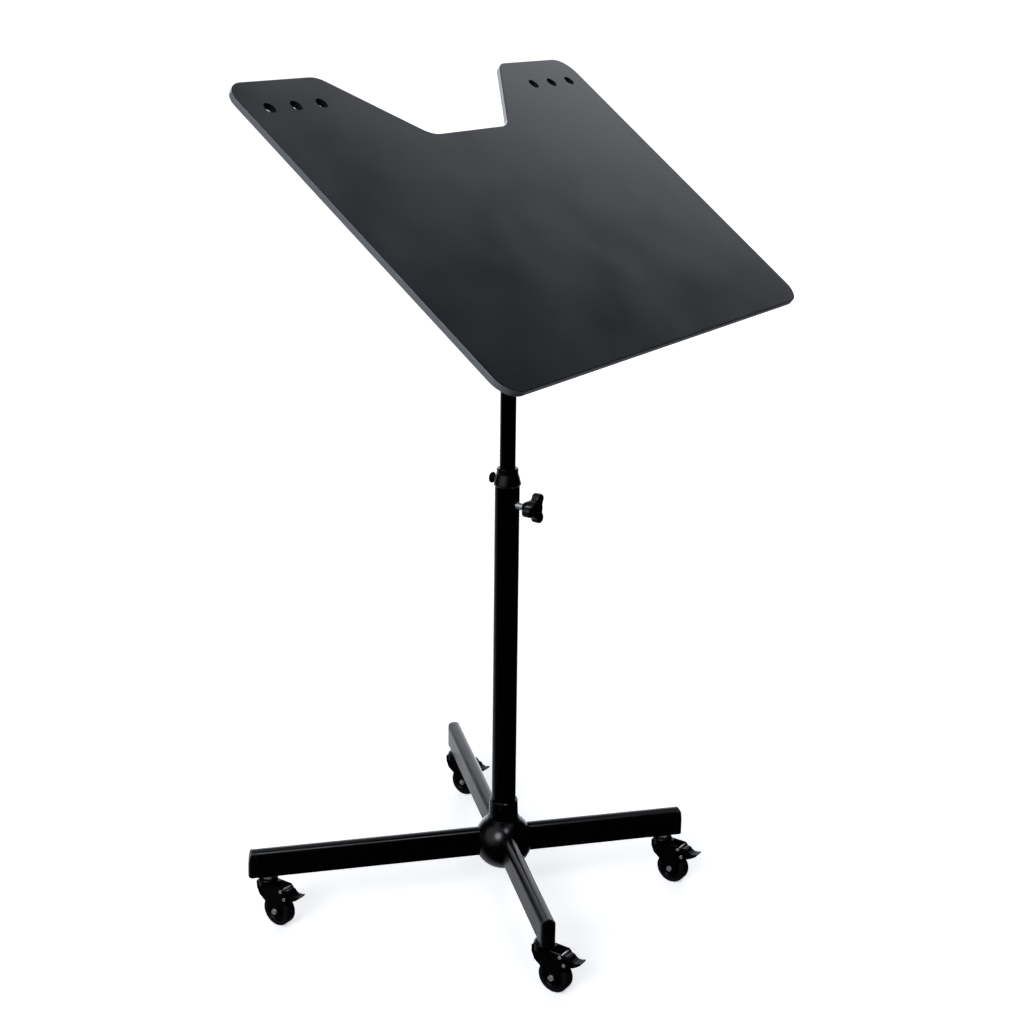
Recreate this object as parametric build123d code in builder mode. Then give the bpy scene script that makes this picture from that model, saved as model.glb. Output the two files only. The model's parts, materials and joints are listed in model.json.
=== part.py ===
from build123d import *
import math
import os

# A mobile presentation lectern: a thin tilting board on a telescopic post, on a
# four-legged base with braked swivel castors. Millimetres and degrees.
# +X runs along the board's width, +Y away from the user, +Z up. The origin is on
# the floor, under the middle of the bounding box.

# ---- Driving dimensions ----

post_y = -12.55  # the post's axis stands this far on the user's side of the middle

# Board
board_width = 713.0
board_depth = 502.0
board_thickness = 8.2
board_tilt = 37.25
board_height = 997.41  # middle of the upper face above the floor
board_forward = 45.61  # the middle of the board is this far on the user's side of the post
board_corner = 30.0
board_edge_round = 1.0
notch_top_half = 193.0
notch_bottom_half = 82.0
notch_depth = 116.5
notch_top_round = 30.0
notch_bottom_round = 36.0
cable_hole_radius = 8.2
cable_hole_pitch = 45.5
cable_hole_across = 271.5  # middle hole of each three, from the board's centre line
cable_hole_along = 205.5  # and from the board's middle towards the raised edge

# Post
outer_radius = 17.0
outer_wall = 2.0
outer_top = 616.2
inner_radius = 10.8
inner_wall = 1.5
inner_bottom = 410.0
sleeve_length = 60.0
collar_bottom = 616.4
collar_flange = 18.5
collar_ring = 14.7
collar_ring_bottom = 632.0
collar_top = 640.8
height_knob_height = 590.5
thumbscrew_height = 623.0

# Hub and legs
ball_radius = 41.3
ball_height = 87.5
hub_top = 123.0
hub_foot = 50.0
socket_top = 152.0
socket_foot_radius = 21.0
socket_top_radius = 19.85
tube_seat = 128.0
leg_width = 20.0
leg_height = 40.0
leg_side = 31.0  # height of the flat sides, below the arched top
leg_wall = 1.5
leg_foot = 70.0  # underside of the legs above the floor
leg_start = 20.0  # inner ends of the legs from the post's axis
long_tube = 350.0
short_tube = 255.0
castor_setback = 15.0  # castor stem from the end of the leg tube, towards the hub
base_turn = 2.55  # the base stands turned by this much against the board

# Castors
wheel_radius = 22.5
wheel_width = 17.0
wheel_trail = 19.0
fork_gap = 18.6
fork_plate = 1.7
fork_crown_top = 57.0
dome_radius = 13.6
dome_top = 67.0
brake_pin = (37.5, 47.5)  # behind the stem's axis, above the floor
stop_pin = (31.5, 57.5)
pedal_reach = 23.5  # end of the pedal from its pivot pin
pedal_half_width = 6.8

# Tilt joint under the board
pivot_height = 985.0
pivot_radius = 5.0
eye_radius = 12.0
eye_half_width = 11.0
ear_inside = 13.0
ear_thickness = 3.0
bracket_width = 180.0
bracket_depth = 120.0
bracket_plate = 3.0
bracket_screw_across = 75.0
bracket_screw_along = 45.0

# Fits
running = 0.08  # radial clearance of parts that turn or slide in each other
seated = 0.05  # radial clearance of parts that are fixed in each other
gap = 0.3  # space between faces that move past each other

legs = [
    ("back_left", 135.0 + base_turn, long_tube),
    ("back_right", 45.0 + base_turn, long_tube),
    ("front_right", -45.0 + base_turn, short_tube),
    ("front_left", -135.0 + base_turn, short_tube),
]

os.makedirs("parts", exist_ok=True)


# ---- Helpers ----


def save(piece, name):
    """Label the finished piece and write it as a node."""
    piece.part.label = name
    export_step(piece.part, f"parts/{name}.step")


def level(height, x=0.0, y=0.0):
    """A level plane at a height, its origin on the post's axis or beside it."""
    return Plane(origin=(x, post_y + y, height))


def upright(x=0.0, y=0.0):
    """The plane of X and Z through a vertical axis: a profile drawn in it turns about that axis."""
    return Plane(origin=(x, post_y + y, 0), x_dir=(1, 0, 0), z_dir=(0, -1, 0))


def facing_out(angle, distance, height):
    """A plane square to a direction from the post: X level, Y up, Z pointing outwards."""
    out = Vector(math.cos(math.radians(angle)), math.sin(math.radians(angle)), 0)
    along = Vector(-out.Y, out.X, 0)
    return Plane(origin=Vector(0, post_y, height) + out * distance, x_dir=along, z_dir=out)


def facing_side(angle, distance, height):
    """The side view of a leg: X pointing outwards along it and Y up."""
    out = Vector(math.cos(math.radians(angle)), math.sin(math.radians(angle)), 0)
    origin = Vector(0, post_y, height) + out * distance
    return Plane(origin=origin, x_dir=out, z_dir=Vector(out.Y, -out.X, 0))


def turned(axis_x, axis_y, points):
    """A solid of revolution about a vertical axis, from (radius, height) points."""
    with BuildPart(mode=Mode.PRIVATE) as body:
        with BuildSketch(upright(axis_x, axis_y)):
            Polygon(*points, align=None)
        revolve(axis=Axis((axis_x, post_y + axis_y, 0), (0, 0, 1)))
    return body.part


# ---- Tubes of the post ----

outer_inside = outer_radius - outer_wall
inner_inside = inner_radius - inner_wall
head_shoulder = 16.0  # top of the inner tube below the pivot
inner_top = pivot_height - head_shoulder
toward_user = -90.0
away_from_user = 90.0
knob_stud_radius = 5.0
thumbscrew_radius = 2.5

# The outer tube stands in the socket; the height knob's stud goes in through its side.
with BuildPart() as outer_tube:
    with BuildSketch(level(tube_seat)):
        Circle(outer_radius)
        Circle(outer_inside, mode=Mode.SUBTRACT)
    extrude(amount=outer_top - tube_seat)
    with BuildSketch(facing_out(toward_user, 0, height_knob_height)):
        Circle(knob_stud_radius + seated)
    extrude(amount=outer_radius + 1, mode=Mode.SUBTRACT)
save(outer_tube, "outer_tube")

# A plastic sleeve inside its top guides the inner tube.
with BuildPart() as tube_sleeve:
    with BuildSketch(level(outer_top - sleeve_length)):
        Circle(outer_inside - seated)
        Circle(inner_radius + running, mode=Mode.SUBTRACT)
    extrude(amount=sleeve_length)
    with BuildSketch(facing_out(toward_user, 0, height_knob_height)):
        Circle(knob_stud_radius + seated)
    extrude(amount=outer_radius, mode=Mode.SUBTRACT)
save(tube_sleeve, "tube_sleeve")

# The inner tube, cross-drilled at its top for the pin of the tilt head.
head_pin_radius = 2.0
head_pin_drop = 15.0
head_pin_height = inner_top - head_pin_drop
with BuildPart() as inner_tube:
    with BuildSketch(level(inner_bottom)):
        Circle(inner_radius)
        Circle(inner_inside, mode=Mode.SUBTRACT)
    extrude(amount=inner_top - inner_bottom)
    with BuildSketch(facing_out(0, 0, head_pin_height)):
        Circle(head_pin_radius + seated)
    extrude(amount=outer_radius, both=True, mode=Mode.SUBTRACT)
save(inner_tube, "inner_tube")

# The glide plugs its lower end and runs in the outer tube.
glide_spigot = 18.0
glide_height = 8.0
with BuildPart() as tube_glide:
    add(
        turned(
            0,
            0,
            [
                (0, inner_bottom - glide_height),
                (outer_inside - running, inner_bottom - glide_height),
                (outer_inside - running, inner_bottom),
                (inner_inside - seated, inner_bottom),
                (inner_inside - seated, inner_bottom + glide_spigot),
                (0, inner_bottom + glide_spigot),
            ],
        )
    )
    chamfer(tube_glide.edges().filter_by(GeomType.CIRCLE).sort_by(Axis.Z)[0], 1.5)
save(tube_glide, "tube_glide")

# ---- Stop collar and its thumbscrew ----

# The collar rests on the outer tube and grips the inner one at the height that was set.
collar_belly = collar_bottom + 3.4
with BuildPart() as stop_collar:
    add(
        turned(
            0,
            0,
            [
                (inner_radius + running, collar_bottom),
                (collar_flange - 1.2, collar_bottom),
                (collar_flange, collar_bottom + 1.6),
                (collar_flange, collar_belly),
                (collar_ring + 0.6, collar_ring_bottom),
                (collar_ring, collar_ring_bottom + 0.8),
                (collar_ring, collar_top - 1.2),
                (collar_ring - 1.2, collar_top),
                (inner_radius + running, collar_top),
            ],
        )
    )
    with BuildSketch(facing_out(away_from_user, 0, thumbscrew_height)):
        Circle(thumbscrew_radius + running)
    extrude(amount=outer_radius + 3, mode=Mode.SUBTRACT)
save(stop_collar, "stop_collar")

thumbscrew_head = 7.5
thumbscrew_head_start = 23.2
thumbscrew_head_thickness = 2.8
thumbscrew_neck = 3.0
thumbscrew_neck_radius = 4.1
thumbscrew_neck_start = thumbscrew_head_start - thumbscrew_neck
with BuildPart() as collar_thumbscrew:
    with BuildSketch(facing_out(away_from_user, inner_radius + gap, thumbscrew_height)):
        Circle(thumbscrew_radius)
    extrude(amount=thumbscrew_head_start - inner_radius - gap)
    with BuildSketch(facing_out(away_from_user, thumbscrew_neck_start, thumbscrew_height)):
        Circle(thumbscrew_neck_radius)
    extrude(amount=thumbscrew_neck)
    with BuildSketch(facing_out(away_from_user, thumbscrew_head_start, thumbscrew_height)):
        Circle(thumbscrew_head)
    extrude(amount=thumbscrew_head_thickness)
    rims = collar_thumbscrew.edges().filter_by(GeomType.CIRCLE).sort_by(Axis.Y)[-2:]
    fillet(rims, 0.9)
save(collar_thumbscrew, "collar_thumbscrew")

# ---- Three-lobed clamping knobs ----

lobe_reach = 15.2
lobe_radius = 7.3
knob_middle = 12.6
knob_thickness = 12.0
knob_neck = 9.5
knob_waist = 7.4


def lobed_knob(plane, bore_radius, bore_depth):
    """A three-lobed knob on a tapered neck. The plane lies at the foot of its neck, and its
    X axis points at one of the lobes."""
    face = Plane(origin=plane.origin + plane.z_dir * knob_neck, x_dir=plane.x_dir, z_dir=plane.z_dir)
    with BuildPart(mode=Mode.PRIVATE) as knob:
        with BuildSketch(face) as grip:
            Circle(knob_middle)
            with PolarLocations(lobe_reach / 2, 3):
                SlotCenterToCenter(lobe_reach, 2 * lobe_radius)
            fillet(grip.vertices().sort_by(SortBy.DISTANCE)[:6], 4.0)
        extrude(amount=knob_thickness)
        fillet(knob.faces().sort_by(Axis(face.origin, face.z_dir))[-1].edges(), 2.6)
        fillet(knob.faces().sort_by(Axis(face.origin, face.z_dir))[0].edges(), 1.8)
        with BuildSketch(plane):
            Circle(knob_waist)
        with BuildSketch(face):
            Circle(knob_middle - 0.6)
        loft()
        with BuildSketch(plane):
            Circle(bore_radius)
        extrude(amount=bore_depth, mode=Mode.SUBTRACT)
    return knob.part


# The height knob's stud is in the wall of the outer tube and ends just short of the inner one.
stud_start = inner_radius + gap
height_knob_start = 28.5
stud_seat_depth = 14.0
knob_plane = facing_out(toward_user, height_knob_start, height_knob_height)
lobe_toward_left = Plane(origin=knob_plane.origin, x_dir=(-1, 0, 0), z_dir=knob_plane.z_dir)
with BuildPart() as height_knob:
    add(lobed_knob(lobe_toward_left, knob_stud_radius + seated, stud_seat_depth))
save(height_knob, "height_knob")

with BuildPart() as knob_stud:
    with BuildSketch(facing_out(toward_user, stud_start, height_knob_height)):
        Circle(knob_stud_radius)
    extrude(amount=height_knob_start + stud_seat_depth - stud_start)
    chamfer(knob_stud.edges().filter_by(GeomType.CIRCLE).sort_by(Axis.Y)[-1], 0.8)
save(knob_stud, "knob_stud")

# ---- Hub: socket, ball and the bolt that holds the post down ----

tie_bolt_radius = 5.0
socket_screw_height = 146.0
socket_screw_side = -158.0
socket_screw_radius = 2.5
socket_screw_length = 4.4
socket_screw_hex = 1.5
socket_screw_hex_depth = 2.0
tie_bolt_head = 8.0
tie_bolt_seat = 64.0
tie_bolt_head_height = 8.0
tie_bolt_end = 6.0  # length of thread above the seat of the outer tube
tie_bolt_hex = 4.6
tie_bolt_hex_depth = 5.0
plug_thickness = 3.0
plug_radius = 11.0
plug_flange = 12.5
plug_flange_thickness = 1.2
spigot_radius = 14.0
spigot_foot = 103.0

with BuildPart() as post_socket:
    add(
        turned(
            0,
            0,
            [
                (tie_bolt_radius + seated, spigot_foot),
                (spigot_radius, spigot_foot),
                (spigot_radius, hub_top),
                (socket_foot_radius, hub_top),
                (socket_top_radius, socket_top - 0.8),
                (socket_top_radius - 0.8, socket_top),
                (outer_radius + seated, socket_top),
                (outer_radius + seated, tube_seat),
                (tie_bolt_radius + seated, tube_seat),
            ],
        )
    )
    with BuildSketch(facing_out(socket_screw_side, outer_inside, socket_screw_height)):
        Circle(socket_screw_radius + seated)
    extrude(amount=10, mode=Mode.SUBTRACT)
save(post_socket, "post_socket")

# A grub screw in the side of the socket keeps the outer tube from turning.
with BuildPart() as socket_screw:
    with BuildSketch(facing_out(socket_screw_side, outer_radius + seated, socket_screw_height)):
        Circle(socket_screw_radius)
    extrude(amount=socket_screw_length)
    screw_end = outer_radius + seated + socket_screw_length
    with BuildSketch(facing_out(socket_screw_side, screw_end, socket_screw_height)):
        RegularPolygon(radius=socket_screw_hex, side_count=6)
    extrude(amount=-socket_screw_hex_depth, mode=Mode.SUBTRACT)
save(socket_screw, "socket_screw")


def leg_section(plane, inset):
    """The leg tube's section, drawn in by an inset: flat sides, an arched top, soft corners."""
    half = leg_width / 2 - inset
    side = leg_side - inset / 2
    with BuildSketch(plane, mode=Mode.PRIVATE) as section:
        with BuildLine():
            Polyline((-half, side), (-half, inset), (half, inset), (half, side))
            ThreePointArc((half, side), (0, leg_height - inset), (-half, side))
        make_face()
        fillet(section.vertices().group_by(Axis.Y)[0], max(2.6 - inset, 0.8))
    return section.sketch


with BuildPart() as hub_ball:
    with Locations((0, post_y, ball_height)):
        Sphere(ball_radius)
    split(bisect_by=level(hub_top), keep=Keep.BOTTOM)
    split(bisect_by=level(hub_foot), keep=Keep.TOP)
    for name, angle, length in legs:
        extrude(
            leg_section(facing_out(angle, leg_start, leg_foot), -seated),
            amount=ball_radius,
            mode=Mode.SUBTRACT,
        )
    with BuildSketch(level(spigot_foot)):
        Circle(spigot_radius + seated)
    extrude(amount=hub_top - spigot_foot, mode=Mode.SUBTRACT)
    with BuildSketch(level(hub_foot)):
        Circle(tie_bolt_radius + seated)
    extrude(amount=hub_top - hub_foot, mode=Mode.SUBTRACT)
    with BuildSketch(level(hub_foot)):
        Circle(plug_radius + seated)
    extrude(amount=tie_bolt_seat - hub_foot, mode=Mode.SUBTRACT)
save(hub_ball, "hub_ball")

with BuildPart() as tie_bolt:
    with BuildSketch(level(tie_bolt_seat - tie_bolt_head_height)):
        Circle(tie_bolt_head)
    extrude(amount=tie_bolt_head_height)
    with BuildSketch(level(tie_bolt_seat)):
        Circle(tie_bolt_radius)
    extrude(amount=tube_seat + tie_bolt_end - tie_bolt_seat)
    with BuildSketch(level(tie_bolt_seat - tie_bolt_head_height)):
        RegularPolygon(radius=tie_bolt_hex, side_count=6)
    extrude(amount=tie_bolt_hex_depth, mode=Mode.SUBTRACT)
save(tie_bolt, "tie_bolt")

with BuildPart() as hub_plug:
    with BuildSketch(level(hub_foot - plug_flange_thickness)):
        Circle(plug_flange)
    extrude(amount=plug_flange_thickness)
    with BuildSketch(level(hub_foot)):
        Circle(plug_radius)
    extrude(amount=plug_thickness)
save(hub_plug, "hub_plug")

# ---- Castors ----

kingpin_radius = 4.0
kingpin_head = 6.5
stem_radius = 5.0
stem_length = 26.0
stem_hex = 9.6
axle_radius = 3.0
axle_head_radius = 4.4
pin_radius = 1.6
pin_head_radius = 2.7
fork_eye = 9.0
fork_front = -12.4
fork_roof = 2.0  # the roof between the side plates ends this far behind the swivel head
head_bottom = 50.0
fork_outside = fork_gap / 2 + fork_plate
crown_bottom = fork_crown_top - fork_plate


def behind(x, y, side=0.0):
    """The side view of a castor: X runs from its stem back along its trail, towards the user,
    and Y up. The trail runs along -Y and the axle along X."""
    return Plane(origin=(x + side, post_y + y, 0), x_dir=(0, -1, 0), z_dir=(-1, 0, 0))


def castor_stem(x, y):
    """Threaded stem with its wrench collar, and the kingpin that hangs the fork below it."""
    with BuildPart(mode=Mode.PRIVATE) as stem:
        with BuildSketch(level(dome_top + gap, x, y)):
            RegularPolygon(radius=stem_hex, side_count=6)
        extrude(amount=leg_foot - dome_top - gap)
        with BuildSketch(level(leg_foot, x, y)):
            Circle(stem_radius)
        extrude(amount=stem_length)
        chamfer(stem.edges().filter_by(GeomType.CIRCLE).sort_by(Axis.Z)[-1], 1.0)
        with BuildSketch(level(dome_top + gap, x, y)):
            Circle(kingpin_radius)
        extrude(amount=-(dome_top + gap - crown_bottom + gap))
        with BuildSketch(level(crown_bottom - gap, x, y)):
            Circle(kingpin_head)
        extrude(amount=-3.0, taper=25)
    return stem.part


def castor_fork(x, y):
    """Fork: a round swivel head over two side plates that carry the axle and the brake."""
    eye_bottom = wheel_radius - fork_eye
    brake_x, brake_z = brake_pin
    stop_x, stop_z = stop_pin
    with BuildPart(mode=Mode.PRIVATE) as fork:
        with BuildSketch(behind(x, y)) as side_view:
            with BuildLine():
                Polyline(
                    (fork_front, fork_crown_top),
                    (fork_front, head_bottom + 2.0),
                    (fork_front + 4.5, head_bottom - 8.0),
                    (wheel_trail - fork_eye - 4.0, wheel_radius + 9.0),
                    (wheel_trail - fork_eye, wheel_radius),
                    (wheel_trail - fork_eye, eye_bottom),
                    (wheel_trail + fork_eye, eye_bottom),
                    (wheel_trail + fork_eye, wheel_radius + 7.0),
                    (brake_x + 3.5, brake_z - 5.5),
                    (brake_x + 4.8, brake_z + 1.5),
                    (stop_x + 4.2, stop_z + 1.2),
                    (stop_x + 1.0, stop_z + 4.2),
                    (fork_front, stop_z + 4.2),
                    (fork_front, fork_crown_top),
                )
            make_face()
            fillet(side_view.vertices().group_by(Axis.Y)[0], fork_eye - 0.5)
            fillet(side_view.vertices().group_by(Axis.X)[-1], 3.0)
        extrude(amount=fork_outside, both=True)
        with BuildSketch(upright(x, y)):
            with Locations((0, crown_bottom / 2)):
                Rectangle(fork_gap, crown_bottom)
        extrude(amount=pedal_reach + brake_x, both=True, mode=Mode.SUBTRACT)
        with BuildSketch(behind(x, y)):
            with Locations((dome_radius + fork_roof + brake_x, fork_crown_top)):
                Rectangle(2 * brake_x, 4 * dome_radius)
        extrude(amount=fork_gap / 2, both=True, mode=Mode.SUBTRACT)
        add(
            turned(
                x,
                y,
                [
                    (0, crown_bottom),
                    (dome_radius, crown_bottom),
                    (dome_radius, dome_top - 2.6),
                    (dome_radius - 0.8, dome_top - 1.0),
                    (dome_radius - 3.2, dome_top),
                    (0, dome_top),
                ],
            )
        )
        with BuildSketch(level(dome_top, x, y)):
            Circle(kingpin_radius + running)
        extrude(amount=crown_bottom - dome_top, mode=Mode.SUBTRACT)
        with BuildSketch(behind(x, y)):
            with Locations((wheel_trail, wheel_radius)):
                Circle(axle_radius + seated)
            with Locations(brake_pin, stop_pin):
                Circle(pin_radius + seated)
        extrude(amount=fork_outside + 1, both=True, mode=Mode.SUBTRACT)
    return fork.part


def castor_axle(x, y):
    """Axle bolt: a shank through the fork with a low round head at each end."""
    with BuildPart(mode=Mode.PRIVATE) as axle:
        with BuildSketch(behind(x, y)):
            with Locations((wheel_trail, wheel_radius)):
                Circle(axle_radius)
        extrude(amount=fork_outside, both=True)
        for side in (-1, 1):
            with BuildSketch(behind(x, y, side=side * fork_outside)):
                with Locations((wheel_trail, wheel_radius)):
                    Circle(axle_head_radius)
            extrude(amount=-side * 1.8, taper=15)
    return axle.part


def castor_pins(x, y):
    """The brake's pivot pin and its stop pin, riveted across the fork."""
    with BuildPart(mode=Mode.PRIVATE) as pins:
        with BuildSketch(behind(x, y)):
            with Locations(brake_pin, stop_pin):
                Circle(pin_radius)
        extrude(amount=fork_outside, both=True)
        for side in (-1, 1):
            with BuildSketch(behind(x, y, side=side * fork_outside)):
                with Locations(brake_pin, stop_pin):
                    Circle(pin_head_radius)
            extrude(amount=-side * 1.1, taper=20)
    return pins.part


def castor_pedal(x, y):
    """Brake pedal: a tread plate behind the fork, on a boss that carries the brake shoe."""
    with BuildPart(mode=Mode.PRIVATE) as pedal:
        with BuildSketch(behind(x, y)) as side_view:
            with Locations(brake_pin):
                Polygon(
                    (-3.6, 7.6),
                    (-1.2, 11.2),
                    (3.0, 12.6),
                    (6.4, 11.4),
                    (9.4, 8.4),
                    (13.4, 6.8),
                    (18.0, 7.4),
                    (pedal_reach, 9.4),
                    (pedal_reach - 1.6, 5.4),
                    (17.0, 1.6),
                    (11.0, -1.8),
                    (6.5, -3.6),
                    (0.2, -8.2),
                    (-2.6, -7.8),
                    (-4.6, -2.0),
                    (-4.6, 3.0),
                    align=None,
                )
            fillet(side_view.vertices(), 0.5)
        extrude(amount=pedal_half_width, both=True)
        with BuildSketch(behind(x, y)):
            with Locations(brake_pin):
                Circle(pin_radius + running)
        extrude(amount=pedal_half_width + 1, both=True, mode=Mode.SUBTRACT)
    return pedal.part


def across(x, y):
    """A plane through the axle, across the castor: a profile in it turns about the axle."""
    origin = (x, post_y + y - wheel_trail, wheel_radius)
    return Plane(origin=origin, x_dir=(1, 0, 0), z_dir=(0, -1, 0))


wheel_core_radius = 15.5
tyre_inside = wheel_core_radius + seated
axle_bore = axle_radius + running


def castor_wheel(x, y):
    """Wheel centre: a hub, a thin web and the rim that the tyre is moulded on."""
    half = wheel_width / 2
    axle_line = Axis((x, post_y + y - wheel_trail, wheel_radius), (1, 0, 0))
    with BuildPart(mode=Mode.PRIVATE) as wheel:
        with BuildSketch(across(x, y)):
            Polygon(
                (-half - 0.5, axle_bore),
                (-half - 0.5, 6.5),
                (-half + 2.0, 7.5),
                (-half + 2.0, 12.5),
                (-half + 0.4, wheel_core_radius),
                (half - 0.4, wheel_core_radius),
                (half - 2.0, 12.5),
                (half - 2.0, 7.5),
                (half + 0.5, 6.5),
                (half + 0.5, axle_bore),
                align=None,
            )
        revolve(axis=axle_line)
    return wheel.part


def castor_tyre(x, y):
    """Tyre: a plain band with rounded shoulders."""
    axle_line = Axis((x, post_y + y - wheel_trail, wheel_radius), (1, 0, 0))
    with BuildPart(mode=Mode.PRIVATE) as tyre:
        with BuildSketch(across(x, y)) as band:
            with Locations((0, (tyre_inside + wheel_radius) / 2)):
                Rectangle(wheel_width, wheel_radius - tyre_inside)
            fillet(band.vertices().group_by(Axis.Y)[-1], 2.6)
        revolve(axis=axle_line)
    return tyre.part


castor_pieces = [
    ("stem", castor_stem),
    ("fork", castor_fork),
    ("axle", castor_axle),
    ("brake_pins", castor_pins),
    ("pedal", castor_pedal),
    ("wheel", castor_wheel),
    ("tyre", castor_tyre),
]

# ---- Legs, their end caps and their castors ----

cap_length = 12.5
cap_setback = 7.0
cap_plug = 34.0


def leg_tube(angle, length, stem_x, stem_y):
    """Arched steel tube from its pocket in the ball, drilled for the castor's stem."""
    start = facing_out(angle, leg_start, leg_foot)
    with BuildPart(mode=Mode.PRIVATE) as tube:
        extrude(leg_section(start, 0), amount=length - leg_start)
        extrude(leg_section(start, leg_wall), amount=length - leg_start, mode=Mode.SUBTRACT)
        with BuildSketch(level(leg_foot, stem_x, stem_y)):
            Circle(stem_radius + seated)
        extrude(amount=leg_wall + 1, mode=Mode.SUBTRACT)
    return tube.part


def leg_cap(angle, length, stem_x, stem_y):
    """Moulded end cap: a nose that is round in plan and curves back towards its top, and a
    plug inside the tube whose bore takes the castor's stem."""
    end = facing_out(angle, length, leg_foot)
    flank = cap_length - leg_width / 2
    with BuildPart(mode=Mode.PRIVATE) as cap:
        extrude(leg_section(end, 0), amount=cap_length)
        with BuildSketch(facing_side(angle, length, leg_foot)):
            with BuildLine():
                nose = EllipticalCenterArc(
                    (cap_length - cap_setback, 0),
                    cap_setback,
                    leg_height,
                    start_angle=0,
                    arc_size=90,
                )
                Polyline(nose @ 1, (0, leg_height), (0, 0), nose @ 0)
            make_face()
        extrude(amount=leg_width, both=True, mode=Mode.INTERSECT)
        plan = Plane(origin=end.origin, x_dir=end.z_dir, z_dir=(0, 0, 1))
        with BuildSketch(plan):
            with Locations((flank, 0)):
                Circle(leg_width / 2)
            with Locations((flank / 2, 0)):
                Rectangle(flank, leg_width)
        extrude(amount=leg_height, mode=Mode.INTERSECT)
        extrude(leg_section(end, leg_wall + 0.1), amount=-cap_plug)
        with BuildSketch(level(leg_foot, stem_x, stem_y)):
            Circle(stem_radius + seated)
        extrude(amount=stem_length + 3.0, mode=Mode.SUBTRACT)
    return cap.part


for leg_name, angle, length in legs:
    reach = length - castor_setback
    stem_x = reach * math.cos(math.radians(angle))
    stem_y = reach * math.sin(math.radians(angle))
    with BuildPart() as leg:
        add(leg_tube(angle, length, stem_x, stem_y))
    save(leg, f"leg_{leg_name}")
    with BuildPart() as cap:
        add(leg_cap(angle, length, stem_x, stem_y))
    save(cap, f"cap_{leg_name}")
    for piece_name, make_piece in castor_pieces:
        with BuildPart() as piece:
            add(make_piece(stem_x, stem_y))
        save(piece, f"{piece_name}_{leg_name}")

# ---- Tilt joint ----

tilt = math.radians(board_tilt)
board_up = Vector(0, math.cos(tilt), math.sin(tilt))
board_normal = Vector(0, -math.sin(tilt), math.cos(tilt))
board_middle = Vector(0, post_y - board_forward, board_height)
board_face = Plane(origin=board_middle, x_dir=(1, 0, 0), z_dir=board_normal)
pivot = Vector(0, post_y, pivot_height)
pivot_along = (pivot - board_middle).dot(board_up)
pivot_depth = -(pivot - board_middle).dot(board_normal)
board_under = Plane(
    origin=board_middle + board_up * pivot_along - board_normal * board_thickness,
    x_dir=(1, 0, 0),
    z_dir=-board_normal,
)
pivot_below = pivot_depth - board_thickness


def across_tilt(offset):
    """The side view of the tilt joint, square to its axis: X away from the user, Y up."""
    return Plane(origin=(offset, post_y, pivot_height), x_dir=(0, 1, 0), z_dir=(1, 0, 0))


# The tilt head plugs the inner tube, and its eye takes the pivot bolt.
head_spigot = 30.0
with BuildPart() as tilt_head:
    with BuildSketch(level(inner_top - head_spigot)):
        Circle(inner_inside - seated)
    extrude(amount=head_spigot)
    with BuildSketch(across_tilt(-eye_half_width)):
        Circle(eye_radius)
        with Locations((0, (inner_top - pivot_height) / 2)):
            Rectangle(2 * eye_radius, pivot_height - inner_top)
        Circle(pivot_radius + running, mode=Mode.SUBTRACT)
    extrude(amount=2 * eye_half_width)
    with BuildSketch(facing_out(0, 0, head_pin_height)):
        Circle(head_pin_radius + seated)
    extrude(amount=outer_radius, both=True, mode=Mode.SUBTRACT)
save(tilt_head, "tilt_head")

with BuildPart() as head_pin:
    with BuildSketch(facing_out(0, 0, head_pin_height)):
        Circle(head_pin_radius)
    extrude(amount=inner_radius - 0.4, both=True)
save(head_pin, "head_pin")

# The bracket is a plate under the board with two ears that hold the bolt.
ear_half = 17.0
ear_root_half = 26.0
with BuildPart() as tilt_bracket:
    with BuildSketch(board_under) as plate_outline:
        RectangleRounded(bracket_width, bracket_depth, 10.0)
        with GridLocations(2 * bracket_screw_across, 2 * bracket_screw_along, 2, 2):
            Circle(2.6, mode=Mode.SUBTRACT)
    extrude(amount=bracket_plate)
    for side in (-1, 1):
        ear_plane = Plane(
            origin=pivot + Vector(side * ear_inside, 0, 0), x_dir=board_up, z_dir=(1, 0, 0)
        )
        root = pivot_below - bracket_plate
        with BuildSketch(ear_plane):
            with BuildLine():
                Polyline((ear_half, 0), (ear_root_half, root), (-ear_root_half, root), (-ear_half, 0))
                ThreePointArc((-ear_half, 0), (0, -ear_half), (ear_half, 0))
            make_face()
            Circle(pivot_radius + seated, mode=Mode.SUBTRACT)
        extrude(amount=side * ear_thickness)
save(tilt_bracket, "tilt_bracket")

# Friction washers fill the space between the ears and the head.
for side, washer_name in ((-1, "washer_left"), (1, "washer_right")):
    with BuildPart() as washer:
        with BuildSketch(across_tilt(side * (ear_inside - 0.1))):
            Circle(eye_radius - 1.0)
            Circle(pivot_radius + seated, mode=Mode.SUBTRACT)
        extrude(amount=-side * 1.7)
    save(washer, washer_name)

bolt_head = 8.5
bolt_head_thickness = 5.5
tilt_knob_start = ear_inside + ear_thickness + gap
with BuildPart() as pivot_bolt:
    with BuildSketch(across_tilt(-ear_inside - ear_thickness)):
        RegularPolygon(radius=bolt_head, side_count=6)
    extrude(amount=-bolt_head_thickness)
    with BuildSketch(across_tilt(-ear_inside - ear_thickness)):
        Circle(pivot_radius)
    extrude(amount=2 * ear_inside + 2 * ear_thickness + gap + stud_seat_depth - 2.0)
save(pivot_bolt, "pivot_bolt")

with BuildPart() as tilt_knob:
    add(lobed_knob(across_tilt(tilt_knob_start), pivot_radius + running, stud_seat_depth))
save(tilt_knob, "tilt_knob")

# ---- Board ----

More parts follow.
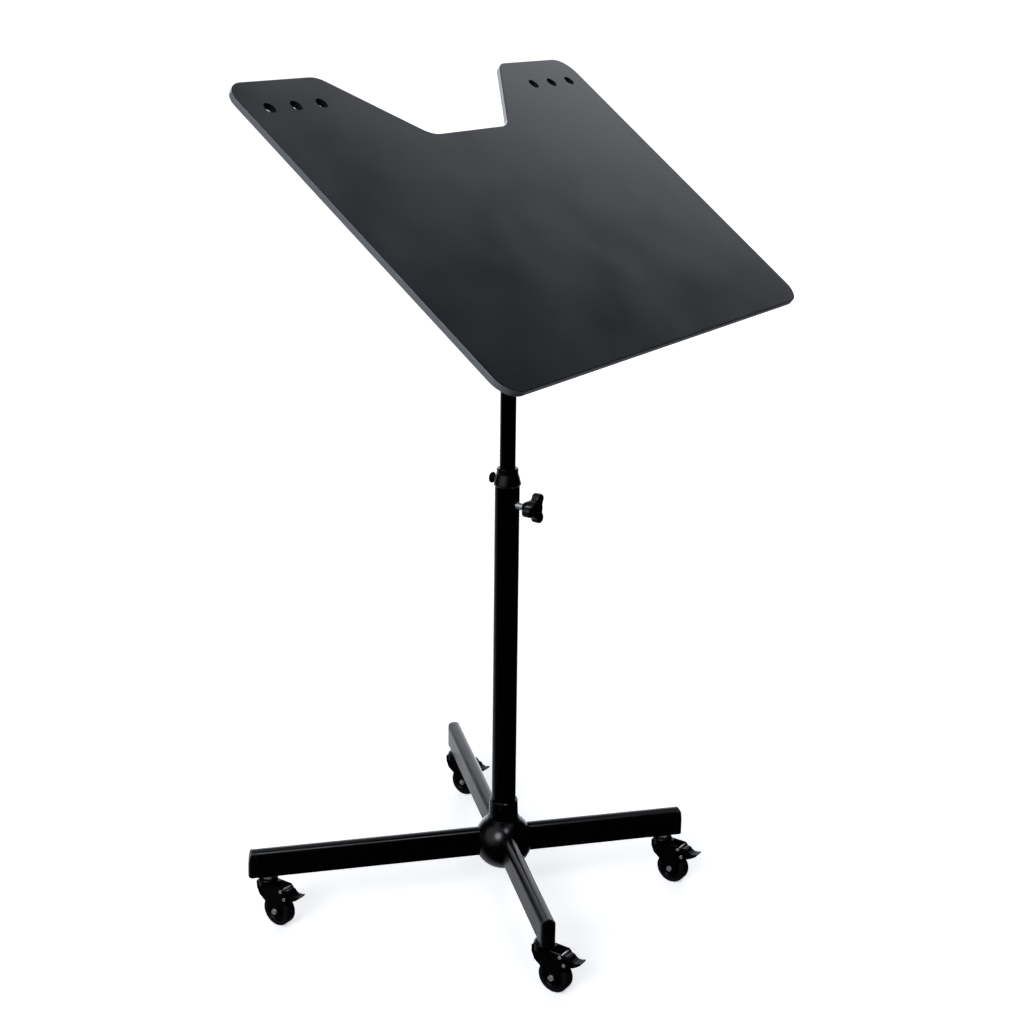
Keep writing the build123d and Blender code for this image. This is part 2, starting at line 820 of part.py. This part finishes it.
notch_floor = board_depth / 2 - notch_depth
with BuildPart() as desk_board:
    with BuildSketch(board_face) as outline:
        Rectangle(board_width, board_depth)
        Polygon(
            (-notch_top_half, board_depth / 2),
            (-notch_bottom_half, notch_floor),
            (notch_bottom_half, notch_floor),
            (notch_top_half, board_depth / 2),
            align=None,
            mode=Mode.SUBTRACT,
        )
        fillet(outline.vertices().sort_by(SortBy.DISTANCE)[-4:], board_corner)
        fillet(outline.vertices().filter_by_position(Axis.Y, 0, notch_floor), notch_bottom_round)
        notch_lips = outline.vertices().filter_by_position(Axis.X, -notch_top_half, notch_top_half)
        fillet(notch_lips.group_by(Axis.Y)[-1], notch_top_round)
        with Locations((-cable_hole_across, cable_hole_along), (cable_hole_across, cable_hole_along)):
            with GridLocations(cable_hole_pitch, 0, 3, 1):
                Circle(cable_hole_radius, mode=Mode.SUBTRACT)
    extrude(amount=-board_thickness)
    through_board = desk_board.faces().sort_by(Axis(board_middle, board_normal))
    for face in (through_board[0], through_board[-1]):
        fillet(face.outer_wire().edges(), board_edge_round)
save(desk_board, "desk_board")
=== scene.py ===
import json
import math

import bmesh
import bpy
from mathutils import Matrix, Vector


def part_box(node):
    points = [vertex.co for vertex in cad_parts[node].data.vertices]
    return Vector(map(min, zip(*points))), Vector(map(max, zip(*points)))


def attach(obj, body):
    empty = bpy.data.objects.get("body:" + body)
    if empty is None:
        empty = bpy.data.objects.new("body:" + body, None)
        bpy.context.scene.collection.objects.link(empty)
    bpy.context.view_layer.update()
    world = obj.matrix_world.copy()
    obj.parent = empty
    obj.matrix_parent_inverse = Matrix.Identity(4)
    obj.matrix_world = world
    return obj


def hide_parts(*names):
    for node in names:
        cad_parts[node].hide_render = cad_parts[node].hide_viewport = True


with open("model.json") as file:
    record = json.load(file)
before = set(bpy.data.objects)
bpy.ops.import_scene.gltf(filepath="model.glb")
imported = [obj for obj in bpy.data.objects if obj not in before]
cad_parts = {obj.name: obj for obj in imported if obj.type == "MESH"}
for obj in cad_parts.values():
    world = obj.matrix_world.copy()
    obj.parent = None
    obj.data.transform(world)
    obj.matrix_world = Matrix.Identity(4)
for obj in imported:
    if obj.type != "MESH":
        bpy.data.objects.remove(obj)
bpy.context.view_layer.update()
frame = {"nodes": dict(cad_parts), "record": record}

node = frame["nodes"]

# ---- Camera ----
# It stands at the user's left, a little above the board, and looks down on the whole
# lectern with a longer than normal lens. Its place is measured from the post's axis.

tube_low, tube_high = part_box("outer_tube")
post_axis = Vector(((tube_low.x + tube_high.x) / 2, (tube_low.y + tube_high.y) / 2, 0))
camera_from_post = Vector((-1.8321, -1.2501, 1.2889))
camera_heading = math.radians(-55.864)
camera_dip = math.radians(17.7588)
camera_roll = math.radians(-0.7306)
camera_lens = 60.907
sensor_width = 36.0

level_right = Vector((math.cos(camera_heading), math.sin(camera_heading), 0))
straight_ahead = Vector((
    -math.sin(camera_heading) * math.cos(camera_dip),
    math.cos(camera_heading) * math.cos(camera_dip),
    -math.sin(camera_dip),
))
level_down = straight_ahead.cross(level_right)
rolled_right = math.cos(camera_roll) * level_right + math.sin(camera_roll) * level_down
rolled_down = math.cos(camera_roll) * level_down - math.sin(camera_roll) * level_right
camera_place = post_axis + camera_from_post


def add_object(name, data):
    """A new object of this data in the scene."""
    made = bpy.data.objects.new(name, data)
    bpy.context.scene.collection.objects.link(made)
    return made


lectern_camera = add_object("lectern_camera", bpy.data.cameras.new("lectern_camera"))
lectern_camera.data.lens = camera_lens
lectern_camera.data.sensor_width = sensor_width
lectern_camera.matrix_world = Matrix((
    (rolled_right.x, -rolled_down.x, -straight_ahead.x, camera_place.x),
    (rolled_right.y, -rolled_down.y, -straight_ahead.y, camera_place.y),
    (rolled_right.z, -rolled_down.z, -straight_ahead.z, camera_place.z),
    (0, 0, 0, 1),
))
bpy.context.scene.camera = lectern_camera
bpy.context.scene.view_settings.view_transform = "Standard"

# ---- Studio ----
# A plain pale floor in a white surround. The soft light comes from the far side of the
# room, from above and from the user's left, and two small softboxes hang near the camera.
# Each light is a heading, a height, where it is full, where it ends, and its strength.

floor_radius = 14.0
floor_colour = (0.88, 0.885, 0.89, 1)
floor_glow = 0.6
surround_glow = 1.1
white = (1, 1, 1, 1)
dim_room = 0.004
cool_light = (0.9, 0.935, 1.0, 1)
softboxes = [
    ("far wall", 36, 8, 32, 43.0, 1.7),
    ("lit paper behind", 62, -42, 24, 58, 0.42),
    ("left window", 160, 30, 14, 40, 0.75),
    ("overhead", 0, 90, 14, 36, 0.7),
    ("near softbox", 189, 36, 7, 15, 8.0),
    ("high softbox", 236, 59, 5, 9, 6.0),
]


def set_nodes(tree, kind, **settings):
    """A new node of a kind, with its settings and the values of its named sockets."""
    made = tree.nodes.new(kind)
    for key, value in settings.items():
        if hasattr(made, key):
            setattr(made, key, value)
        else:
            made.inputs[key.replace("_", " ")].default_value = value
    return made


def mesh_object(name, shape):
    """An object from a bmesh, which is freed."""
    mesh = bpy.data.meshes.new(name)
    shape.to_mesh(mesh)
    shape.free()
    return add_object(name, mesh)


shape = bmesh.new()
bmesh.ops.create_circle(shape, cap_ends=True, segments=96, radius=floor_radius)
floor = mesh_object("studio_floor", shape)
floor.visible_glossy = False
floor.visible_diffuse = False
pale_floor = bpy.data.materials.new("pale_floor")
pale_floor.use_nodes = True
floor_shader = pale_floor.node_tree.nodes["Principled BSDF"]
for socket, value in {
    "Base Color": floor_colour,
    "Roughness": 0.9,
    "Specular IOR Level": 0.1,
    "Emission Color": white,
    "Emission Strength": floor_glow,
}.items():
    floor_shader.inputs[socket].default_value = value
floor.data.materials.append(pale_floor)

shape = bmesh.new()
bmesh.ops.create_uvsphere(shape, u_segments=48, v_segments=24, radius=floor_radius)
surround = mesh_object("studio_surround", shape)
white_surround = bpy.data.materials.new("white_surround")
white_surround.use_nodes = True
tree = white_surround.node_tree
tree.nodes.clear()
glow = set_nodes(tree, "ShaderNodeEmission", Color=white, Strength=surround_glow)
tree.links.new(glow.outputs[0], set_nodes(tree, "ShaderNodeOutputMaterial").inputs["Surface"])
surround.data.materials.append(white_surround)
for sight in ("visible_diffuse", "visible_glossy", "visible_transmission", "visible_shadow"):
    setattr(surround, sight, False)

studio_light = bpy.data.worlds.new("studio_light")
bpy.context.scene.world = studio_light
studio_light.use_nodes = True
tree = studio_light.node_tree
room = tree.nodes["Background"]
room.inputs["Color"].default_value = cool_light
way = set_nodes(tree, "ShaderNodeTexCoord").outputs["Generated"]
light_so_far = None
for box_name, heading, height, full_at, none_at, strength in softboxes:
    turn, rise = math.radians(heading), math.radians(height)
    aim = set_nodes(tree, "ShaderNodeVectorMath", operation="DOT_PRODUCT", label=box_name)
    aim.inputs[1].default_value = (
        math.cos(turn) * math.cos(rise),
        math.sin(turn) * math.cos(rise),
        math.sin(rise),
    )
    tree.links.new(way, aim.inputs[0])
    fade = set_nodes(tree, "ShaderNodeMapRange", interpolation_type="SMOOTHSTEP")
    fade.inputs["From Min"].default_value = math.cos(math.radians(none_at))
    fade.inputs["From Max"].default_value = math.cos(math.radians(full_at))
    fade.inputs["To Max"].default_value = strength
    tree.links.new(aim.outputs["Value"], fade.inputs["Value"])
    sum_up = set_nodes(tree, "ShaderNodeMath", operation="ADD")
    sum_up.inputs[1].default_value = dim_room
    tree.links.new(fade.outputs["Result"], sum_up.inputs[0])
    if light_so_far is not None:
        tree.links.new(light_so_far, sum_up.inputs[1])
    light_so_far = sum_up.outputs[0]
tree.links.new(light_so_far, room.inputs["Strength"])

# ---- Legs ----
# Four lengths of arched steel tube, powder-coated gloss black. Each is pushed into its
# pocket in the hub ball. The coating has a faint orange peel and a few dull smudges.

legs = ["back_left", "back_right", "front_right", "front_left"]
patch_low = 0.3  # the noise of the patches lies mostly between these two
patch_high = 0.7


def make_finish(name, colour, rough, grain_size, grain_depth, specular, metal=0.0,
                shade=0.2, dulling=0.06, patch_size=0.05, stretch=(1, 1, 1), specks=0.0):
    """A finish: colour and gloss that vary in soft patches, over a fine grain in relief.
    Sizes are in metres. Stretch draws the grain out along an axis."""
    finish = bpy.data.materials.new(name)
    finish.use_nodes = True
    tree = finish.node_tree
    shader = tree.nodes["Principled BSDF"]
    place = set_nodes(tree, "ShaderNodeTexCoord").outputs["Object"]
    patches = set_nodes(tree, "ShaderNodeTexNoise", Scale=1 / patch_size, Detail=5.0)
    tree.links.new(place, patches.inputs["Vector"])
    drawn = set_nodes(tree, "ShaderNodeMapping", Scale=stretch)
    tree.links.new(place, drawn.inputs["Vector"])
    grain = set_nodes(tree, "ShaderNodeTexNoise", Scale=1 / grain_size, Detail=3.0)
    tree.links.new(drawn.outputs["Vector"], grain.inputs["Vector"])
    tone = set_nodes(tree, "ShaderNodeMix", data_type="RGBA")
    tone.inputs[6].default_value = (*[c * (1 - shade) for c in colour], 1)
    tone.inputs[7].default_value = (*[min(c * (1 + shade), 1) for c in colour], 1)
    mixed = set_nodes(tree, "ShaderNodeMath", operation="MULTIPLY_ADD")
    mixed.inputs[1].default_value = specks
    tree.links.new(grain.outputs["Fac"], mixed.inputs[0])
    tree.links.new(patches.outputs["Fac"], mixed.inputs[2])
    tree.links.new(mixed.outputs[0], tone.inputs["Factor"])
    tree.links.new(tone.outputs[2], shader.inputs["Base Color"])
    gloss = set_nodes(tree, "ShaderNodeMapRange")
    gloss.inputs["From Min"].default_value = patch_low
    gloss.inputs["From Max"].default_value = patch_high
    gloss.inputs["To Min"].default_value = rough - dulling
    gloss.inputs["To Max"].default_value = rough + dulling
    tree.links.new(patches.outputs["Fac"], gloss.inputs["Value"])
    tree.links.new(gloss.outputs["Result"], shader.inputs["Roughness"])
    relief = set_nodes(tree, "ShaderNodeBump", Distance=grain_depth)
    tree.links.new(grain.outputs["Fac"], relief.inputs["Height"])
    tree.links.new(relief.outputs["Normal"], shader.inputs["Normal"])
    shader.inputs["Specular IOR Level"].default_value = specular
    shader.inputs["Metallic"].default_value = metal
    return finish


def paint_nodes(finish, *names):
    """Gives CAD nodes a finish in place of their plain one."""
    for name in names:
        for holder in node[name].material_slots:
            holder.material = finish


gloss_black = make_finish(
    "gloss_black_powder_coat", (0.0008, 0.0008, 0.001), rough=0.2, grain_size=0.0016,
    grain_depth=0.000012, specular=0.3,
)
paint_nodes(gloss_black, *[f"leg_{leg}" for leg in legs])

# ---- End caps ----
# Moulded black plastic plugs, pushed into the ends of the legs until their shoulder
# meets the tube. The surface has a very fine moulded grain.

moulded_black = make_finish(
    "moulded_black_plastic", (0.0012, 0.0012, 0.0014), rough=0.3, grain_size=0.0005,
    grain_depth=0.00001, specular=0.35, patch_size=0.02,
)
paint_nodes(moulded_black, *[f"cap_{leg}" for leg in legs])

# ---- Hub ----
# A cast ball with a pocket for each leg. The socket for the post is welded on top, with a
# rippled bead round its foot, and coated with it. A zinc-plated bolt from below holds them
# down, hidden by a plastic plug.

# Zinc plating that is only partly metallic: the rest of its pale colour is lit diffusely, a
# painted glint that stands in for the bright reflection of the plating.
zinc_with_painted_glint = make_finish(
    "zinc_plate_with_painted_glint", (0.72, 0.73, 0.75), rough=0.32, grain_size=0.0007,
    grain_depth=0.000012, specular=0.5, metal=0.75, shade=0.1, patch_size=0.006,
)
hub_gloss = make_finish(
    "gloss_black_on_casting", (0.0008, 0.0008, 0.001), rough=0.2, grain_size=0.004,
    grain_depth=0.00006, specular=0.4,
)
paint_nodes(hub_gloss, "hub_ball", "post_socket", "socket_screw")
paint_nodes(zinc_with_painted_glint, "tie_bolt")
paint_nodes(moulded_black, "hub_plug")

bead_ring = 0.0214
bead_size = 0.0016
bead_steps = 192
bead_sides = 10
bead_ripples = 31
ripple_depth = 0.14
bead_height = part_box("hub_ball")[1].z
sharp_edge = math.radians(32)


def close_rings(shape, rings):
    """Joins each ring of points to the next one, and the last one to the first."""
    for step, ring in enumerate(rings):
        following = rings[(step + 1) % len(rings)]
        for point in range(len(ring)):
            after = (point + 1) % len(ring)
            shape.faces.new((ring[point], ring[after], following[after], following[point]))


def finish_piece(piece, finish, body, replaced=None):
    """Smooth shading up to the sharp edges, the finish, and what the piece belongs to."""
    for face in piece.data.polygons:
        face.use_smooth = True
    piece.data.set_sharp_from_angle(angle=sharp_edge)
    piece.data.materials.append(finish)
    if replaced:
        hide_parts(replaced)
    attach(piece, body)


shape = bmesh.new()
rings = []
for step in range(bead_steps):
    angle = 2 * math.pi * step / bead_steps
    ripple = abs(math.cos(bead_ripples * angle / 2))
    size = bead_size * (1 - ripple_depth + ripple_depth * ripple)
    ring = []
    for corner in range(bead_sides):
        turn = 2 * math.pi * corner / bead_sides
        reach = bead_ring + size * math.cos(turn)
        ring.append(shape.verts.new(post_axis + Vector((
            reach * math.cos(angle),
            reach * math.sin(angle),
            bead_height + size * math.sin(turn),
        ))))
    rings.append(ring)
close_rings(shape, rings)
bmesh.ops.recalc_face_normals(shape, faces=shape.faces)
finish_piece(mesh_object("socket_weld_bead", shape), hub_gloss, "base")

# ---- Post ----
# Two drawn steel tubes, one sliding in the other through a plastic sleeve. Both are
# coated gloss black; sliding leaves fine marks along the inner one.

post_black = make_finish(
    "gloss_black_on_tube", (0.0005, 0.0005, 0.0007), rough=0.16, grain_size=0.0012,
    grain_depth=0.00001, specular=0.22, stretch=(1, 1, 0.06),
)
paint_nodes(post_black, "outer_tube", "inner_tube")
paint_nodes(moulded_black, "tube_sleeve", "tube_glide")

# ---- Stop collar ----
# A turned ring, coated black, that is clamped on the inner tube by a thumbscrew with a
# knurled plastic head. It rests on the top of the outer tube.

collar_black = make_finish(
    "satin_black_on_collar", (0.0016, 0.0016, 0.0019), rough=0.26, grain_size=0.0011,
    grain_depth=0.00003, specular=0.5, patch_size=0.012,
)
paint_nodes(collar_black, "stop_collar")

shank_radius = 0.0025
neck_radius = 0.0041
neck_length = 0.003
head_thickness = 0.0028
head_back_round = 0.0009
head_front_round = 0.0011
head_front_edge = 0.0006
edge_break = 0.0004
dish_mouth = 0.004
dish_radius = 0.0033
dish_depth = 0.0007
knurl_ridges = 24
knurl_depth = 0.0006
knurled_from = 0.93  # the share of the widest radius beyond which the ridges are cut
merge_distance = 0.000001


def turn_profile(shape, centre, along, profile, steps, ridges=0, ridge_depth=0.0):
    """Turns a closed profile of (along, radius) points about an axis. Ridges cut its widest
    part into a knurl."""
    along = Vector(along).normalized()
    side = along.orthogonal().normalized()
    third = along.cross(side)
    widest = max(radius for _, radius in profile)
    rings = []
    for step in range(steps):
        angle = 2 * math.pi * step / steps
        out = side * math.cos(angle) + third * math.sin(angle)
        groove = ridge_depth * (0.5 - 0.5 * math.cos(ridges * angle))
        ring = []
        for place, radius in profile:
            cut = groove if radius > knurled_from * widest else 0
            ring.append(shape.verts.new(centre + along * place + out * (radius - cut)))
        rings.append(ring)
    close_rings(shape, rings)
    bmesh.ops.remove_doubles(shape, verts=shape.verts, dist=merge_distance)
    bmesh.ops.recalc_face_normals(shape, faces=shape.faces)


screw_low, screw_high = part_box("collar_thumbscrew")
screw_middle = (screw_low + screw_high) / 2
screw_length = screw_high.y - screw_low.y
head_radius = (screw_high.x - screw_low.x) / 2
head_start = screw_length - head_thickness
neck_start = head_start - neck_length
shape = bmesh.new()
turn_profile(
    shape,
    Vector((screw_middle.x, screw_low.y, screw_middle.z)),
    (0, 1, 0),
    [
        (0, 0),
        (0, shank_radius - edge_break),
        (edge_break, shank_radius),
        (neck_start, shank_radius),
        (neck_start, neck_radius - edge_break),
        (neck_start + edge_break, neck_radius),
        (head_start, neck_radius),
        (head_start, head_radius - head_back_round),
        (head_start + edge_break, head_radius),
        (screw_length - head_front_edge, head_radius),
        (screw_length, head_radius - head_front_round),
        (screw_length, dish_mouth),
        (screw_length - dish_depth, dish_radius),
        (screw_length - dish_depth, 0),
    ],
    steps=144, ridges=knurl_ridges, ridge_depth=knurl_depth,
)
finish_piece(
    mesh_object("knurled_thumbscrew", shape), moulded_black, "collar_thumbscrew",
    replaced="collar_thumbscrew",
)

# ---- Height clamp ----
# A three-lobed knob of moulded plastic on a plated stud that goes in through the wall of
# the outer tube and presses on the inner one.

knob_black = make_finish(
    "grained_black_knob", (0.0028, 0.0028, 0.0032), rough=0.36, grain_size=0.0007,
    grain_depth=0.00005, specular=0.5, patch_size=0.01,
)
# Chrome plating that is only partly metallic: the rest of its pale colour is lit diffusely, a
# painted glint that stands in for the bright reflection of the plating.
chrome_with_painted_glint = make_finish(
    "chrome_plate_with_painted_glint", (0.86, 0.87, 0.89), rough=0.24, grain_size=0.0011,
    grain_depth=0.00003, specular=0.5, metal=0.7, shade=0.06, patch_size=0.004,
)
paint_nodes(knob_black, "height_knob")
paint_nodes(chrome_with_painted_glint, "knob_stud")

# ---- Castors ----
# Castors with a brake: black pressed fork and swivel head, plated axle bolt and rivets, a
# pedal with small ribs to step on, a ribbed plastic wheel, and a tyre with two fine grooves.

fork_black = make_finish(
    "satin_black_on_fork", (0.0006, 0.0006, 0.0008), rough=0.3, grain_size=0.0009,
    grain_depth=0.00003, specular=0.2, patch_size=0.012,
)
wheel_black = make_finish(
    "moulded_black_wheel", (0.0009, 0.0009, 0.0011), rough=0.34, grain_size=0.0008,
    grain_depth=0.00002, specular=0.15, patch_size=0.01,
)
tyre_black = make_finish(
    "dark_tyre", (0.0045, 0.0047, 0.0054), rough=0.5, grain_size=0.0007,
    grain_depth=0.00005, specular=0.2, patch_size=0.008, shade=0.35,
)

tyre_seat = 0.01555
side_groove = (0.0172, 0.0175, 0.0181, 0.0184)  # its radii, from the edge in to the edge out
side_groove_depth = 0.0003
shoulder_start = 0.0199
shoulder = ((0.0007, 0.0011), (0.0016, 0.0003), (0.0027, 0))  # in from the side, in from the tread
tread_groove = (0.0034, 0.0031, 0.0025, 0.0022)  # its edges, from the middle of the tyre
tread_groove_depth = 0.0005
tread_middle = 0.0002

axle_bore = 0.00308
hub_face = 0.0057
hub_edge = 0.0065
hub_chamfer = 0.0006
web_inner = 0.0071
web_outer = 0.0124
web_depth = 0.0025
rim_slope = (0.0013, 0.0136)
rim_lip = (0.0009, 0.0141)
wheel_ribs = 6
wheel_rib_size = (0.0018, 0.0012, 0.0062)
wheel_rib_reach = 0.0098
wheel_rib_rise = 0.0004

pin_head = 0.0027
pedal_rib_length = 0.0112
pedal_rib_height = 0.0006
pedal_rib_round = 0.0003
pedal_ribs = [  # behind the pivot pin and above it
    (0.0114, 0.0076), (0.0136, 0.0068), (0.0158, 0.0071), (0.018, 0.0074), (0.0202, 0.0082),
]


def both_sides(profile):
    """A profile from one side of the wheel, carried on round the other side."""
    return profile + [(-place, radius) for place, radius in reversed(profile)]


for leg in legs:
    paint_nodes(zinc_with_painted_glint, f"stem_{leg}")
    paint_nodes(fork_black, f"fork_{leg}")
    paint_nodes(chrome_with_painted_glint, f"axle_{leg}", f"brake_pins_{leg}")
    paint_nodes(moulded_black, f"pedal_{leg}")

    tyre_low, tyre_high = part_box(f"tyre_{leg}")
    middle = (tyre_low + tyre_high) / 2
    half_tyre = (tyre_high.x - tyre_low.x) / 2
    tread = (tyre_high.z - tyre_low.z) / 2
    groove_floor = tread - tread_groove_depth
    tyre_profile = [
        (half_tyre, tyre_seat),
        (half_tyre, side_groove[0]),
        (half_tyre - side_groove_depth, side_groove[1]),
        (half_tyre - side_groove_depth, side_groove[2]),
        (half_tyre, side_groove[3]),
        (half_tyre, shoulder_start),
        *[(half_tyre - inward, tread - down) for inward, down in shoulder],
        (tread_groove[0], tread),
        (tread_groove[1], groove_floor),
        (tread_groove[2], groove_floor),
        (tread_groove[3], tread),
        (tread_middle, tread),
    ]
    shape = bmesh.new()
    turn_profile(shape, middle, (1, 0, 0), both_sides(tyre_profile), steps=96)
    finish_piece(
        mesh_object(f"grooved_tyre_{leg}", shape), tyre_black, f"wheel_{leg}",
        replaced=f"tyre_{leg}",
    )

    wheel_low, wheel_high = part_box(f"wheel_{leg}")
    half_hub = (wheel_high.x - wheel_low.x) / 2
    rim = (wheel_high.z - wheel_low.z) / 2
    web = half_hub - web_depth
    wheel_profile = [
        (half_hub, axle_bore),
        (half_hub, hub_face),
        (half_hub - hub_chamfer, hub_edge),
        (web, web_inner),
        (web, web_outer),
        (half_hub - rim_slope[0], rim_slope[1]),
        (half_hub - rim_lip[0], rim_lip[1]),
        (half_hub - rim_lip[0], rim),
    ]
    shape = bmesh.new()
    turn_profile(shape, middle, (1, 0, 0), both_sides(wheel_profile), steps=72)
    for side in (-1, 1):
        for rib in range(wheel_ribs):
            turn = Matrix.Rotation(2 * math.pi * rib / wheel_ribs, 4, "X")
            shift = Matrix.Translation((side * (web + wheel_rib_rise), 0, wheel_rib_reach))
            size = Matrix.Diagonal((*wheel_rib_size, 1))
            bmesh.ops.create_cube(
                shape, size=1, matrix=Matrix.Translation(middle) @ turn @ shift @ size
            )
    finish_piece(
        mesh_object(f"ribbed_wheel_{leg}", shape), wheel_black, f"wheel_{leg}",
        replaced=f"wheel_{leg}",
    )

    pins_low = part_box(f"brake_pins_{leg}")[0]
    rib_start = middle.x - pedal_rib_length / 2
    shape = bmesh.new()
    for back, up in pedal_ribs:
        turn_profile(
            shape,
            Vector((rib_start, pins_low.y + pin_head - back, pins_low.z + pin_head + up)),
            (1, 0, 0),
            [
                (0, 0),
                (0, pedal_rib_round),
                (pedal_rib_round, pedal_rib_height),
                (pedal_rib_length - pedal_rib_round, pedal_rib_height),
                (pedal_rib_length, pedal_rib_round),
                (pedal_rib_length, 0),
            ],
            steps=12,
        )
    finish_piece(
        mesh_object(f"pedal_ribs_{leg}", shape), moulded_black, f"brake_{leg}"
    )

# ---- Tilt joint ----
# Under the board, a pressed bracket turns on a bolt through the head of the inner tube.
# Plastic washers give it friction, and a second lobed knob clamps it. Four pan-head screws
# hold the bracket to the board.

paint_nodes(collar_black, "tilt_head", "tilt_bracket")
paint_nodes(zinc_with_painted_glint, "head_pin", "pivot_bolt")
paint_nodes(moulded_black, "washer_left", "washer_right")
paint_nodes(knob_black, "tilt_knob")

mounts = {mount["name"]: mount for mount in frame["record"]["mounts"]}
board_normal = Vector(mounts["desk_top"]["axis"])
board_up = Vector((0, board_normal.z, -board_normal.y))
board_middle = Vector(mounts["desk_top"]["pos_m"])
bolt_low, bolt_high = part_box("pivot_bolt")
pivot = (bolt_low + bolt_high) / 2
bracket_middle = board_middle + board_up * (pivot - board_middle).dot(board_up)
screw_seat = 0.0112  # lower face of the bracket's plate below the board's upper face
screw_across = 0.075
screw_along = 0.045
screw_shank = 0.0024
screw_shank_length = 0.0028
pan_edge = (0.0034, 0.0046)
pan_slope = (0.0046, 0.0038)
pan_top = 0.005
recess_mouth = 0.0019
recess_floor = (0.0034, 0.0012)
pan_head_profile = [
    (0, 0),
    (0, screw_shank),
    (screw_shank_length, screw_shank),
    (screw_shank_length, pan_edge[1]),
    pan_edge,
    pan_slope,
    (pan_top, screw_shank),
    (pan_top, recess_mouth),
    recess_floor,
    (recess_floor[0], 0),
]
shank_depth = screw_seat - screw_shank_length
for side in (-1, 1):
    for end in (-1, 1):
        in_line = Vector((side * screw_across, bracket_middle.y, bracket_middle.z))
        screw_start = in_line + board_up * end * screw_along - board_normal * shank_depth
        shape = bmesh.new()
        turn_profile(shape, screw_start, -board_normal, pan_head_profile, steps=36)
        finish_piece(
            mesh_object(f"bracket_screw_{side + 1}_{end + 1}", shape), zinc_with_painted_glint, "desk",
        )

# ---- Board ----
# A charcoal laminate panel, cut with a notch and cable holes. Its face has a satin, very
# finely speckled finish. The cut edge is the paler grey of the core, lightly rounded, and
# the walls of the cable holes are as dark as the face.

board_face = make_finish(
    "charcoal_laminate", (0.013, 0.0145, 0.018), rough=0.22, grain_size=0.0014,
    grain_depth=0.000004, specular=0.5, shade=0.3, dulling=0.03, patch_size=0.09, specks=0.35,
)
core_grey = (0.3, 0.31, 0.33, 1)
core_from = 0.35  # how flat a surface lies to the board where it turns from core to face
face_from = 0.85
hole_row_reach = 0.06
hole_row_height = 0.012
tree = board_face.node_tree
shader = tree.nodes["Principled BSDF"]
place = set_nodes(tree, "ShaderNodeTexCoord")
facing = set_nodes(tree, "ShaderNodeVectorMath", operation="DOT_PRODUCT")
facing.inputs[1].default_value = board_normal
tree.links.new(place.outputs["Normal"], facing.inputs[0])
flatness = set_nodes(tree, "ShaderNodeMath", operation="ABSOLUTE")
tree.links.new(facing.outputs["Value"], flatness.inputs[0])
cut_edge = set_nodes(tree, "ShaderNodeMapRange", interpolation_type="SMOOTHSTEP")
for socket, value in {
    "From Min": core_from,
    "From Max": face_from,
    "To Min": 1.0,
    "To Max": 0.0,
}.items():
    cut_edge.inputs[socket].default_value = value
tree.links.new(flatness.outputs[0], cut_edge.inputs["Value"])

to_board = node["desk_board"].matrix_world.inverted()
hole_place = to_board @ Vector(mounts["accessory_hole_right_middle"]["pos_m"])
apart = set_nodes(tree, "ShaderNodeSeparateXYZ")
tree.links.new(place.outputs["Object"], apart.inputs[0])
from_middle = set_nodes(tree, "ShaderNodeMath", operation="ABSOLUTE")
tree.links.new(apart.outputs["X"], from_middle.inputs[0])
in_row = set_nodes(tree, "ShaderNodeMath", operation="COMPARE")
in_row.inputs[1].default_value = hole_place.x
in_row.inputs[2].default_value = hole_row_reach
tree.links.new(from_middle.outputs[0], in_row.inputs[0])
at_height = set_nodes(tree, "ShaderNodeMath", operation="COMPARE")
at_height.inputs[1].default_value = hole_place.z
at_height.inputs[2].default_value = hole_row_height
tree.links.new(apart.outputs["Z"], at_height.inputs[0])
in_hole = set_nodes(tree, "ShaderNodeMath", operation="MULTIPLY")
tree.links.new(in_row.outputs[0], in_hole.inputs[0])
tree.links.new(at_height.outputs[0], in_hole.inputs[1])
bare_core = set_nodes(tree, "ShaderNodeMath", operation="SUBTRACT", use_clamp=True)
tree.links.new(cut_edge.outputs["Result"], bare_core.inputs[0])
tree.links.new(in_hole.outputs[0], bare_core.inputs[1])

face_or_edge = set_nodes(tree, "ShaderNodeMix", data_type="RGBA")
tree.links.new(bare_core.outputs[0], face_or_edge.inputs["Factor"])
tree.links.new(shader.inputs["Base Color"].links[0].from_socket, face_or_edge.inputs[6])
face_or_edge.inputs[7].default_value = core_grey
tree.links.new(face_or_edge.outputs[2], shader.inputs["Base Color"])
paint_nodes(board_face, "desk_board")
